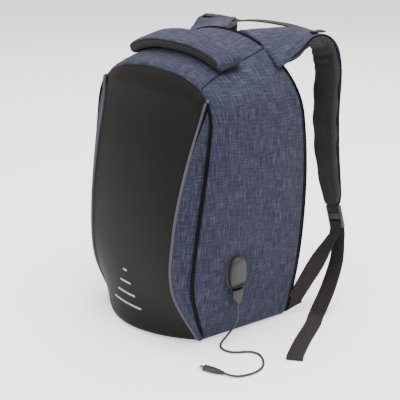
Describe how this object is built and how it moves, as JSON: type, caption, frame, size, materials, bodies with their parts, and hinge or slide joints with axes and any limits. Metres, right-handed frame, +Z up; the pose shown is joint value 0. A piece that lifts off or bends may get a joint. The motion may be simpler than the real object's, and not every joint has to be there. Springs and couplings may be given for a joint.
{
  "type": "anti theft backpack",
  "caption": "Hollow fabric backpack with a bowed front panel, padded back, grab handle, shoulder straps and a side charging port with its cable.",
  "frame": {"origin": "middle of the flat base, on the surface that the backpack stands on", "axes": "+Z up, -Y out of the bowed front panel, +X toward the side with the charging port"},
  "size_m": [0.4276, 0.3153, 0.4432],
  "materials": {
    "navy_fabric": "heather navy woven polyester, matt",
    "black_panel": "smooth coated black fabric, soft satin",
    "spacer_mesh": "black spacer mesh over foam, matt",
    "dark_webbing": "woven dark webbing, matt",
    "grey_piping": "smooth grey piping, semi-matt",
    "black_plastic": "moulded dark plastic, semi-matt",
    "dark_rubber": "moulded dark grey rubber, matt",
    "reflective_film": "light grey reflective print, satin"
  },
  "bodies": {
    "root": {"back_panel": "spacer_mesh", "back_binding": "dark_webbing", "front_panel": "black_panel", "panel_piping_right": "grey_piping", "panel_piping_left": "grey_piping", "front_wing_right": "navy_fabric", "front_wing_left": "navy_fabric", "bottom_panel": "navy_fabric", "top_panel": "navy_fabric", "side_panel_right": "navy_fabric", "side_panel_left": "navy_fabric", "handle_pad": "spacer_mesh", "handle_cover": "navy_fabric", "strap_pad_right": "spacer_mesh", "strap_pad_left": "spacer_mesh", "strap_cover_right": "navy_fabric", "strap_cover_left": "navy_fabric", "hang_loop": "dark_webbing", "ladder_lock_right": "black_plastic", "ladder_lock_left": "black_plastic", "base_tab_right": "dark_webbing", "base_tab_left": "dark_webbing", "lower_webbing_right": "dark_webbing", "lower_webbing_left": "dark_webbing", "strap_tail_right": "dark_webbing", "strap_tail_left": "dark_webbing", "side_port": "dark_rubber", "cable_plug": "dark_rubber", "cable": "dark_rubber", "cable_connector": "dark_rubber", "reflective_bar_1": "reflective_film", "reflective_bar_2": "reflective_film", "reflective_bar_3": "reflective_film", "reflective_bar_4": "reflective_film"}
  },
  "joints": []
}
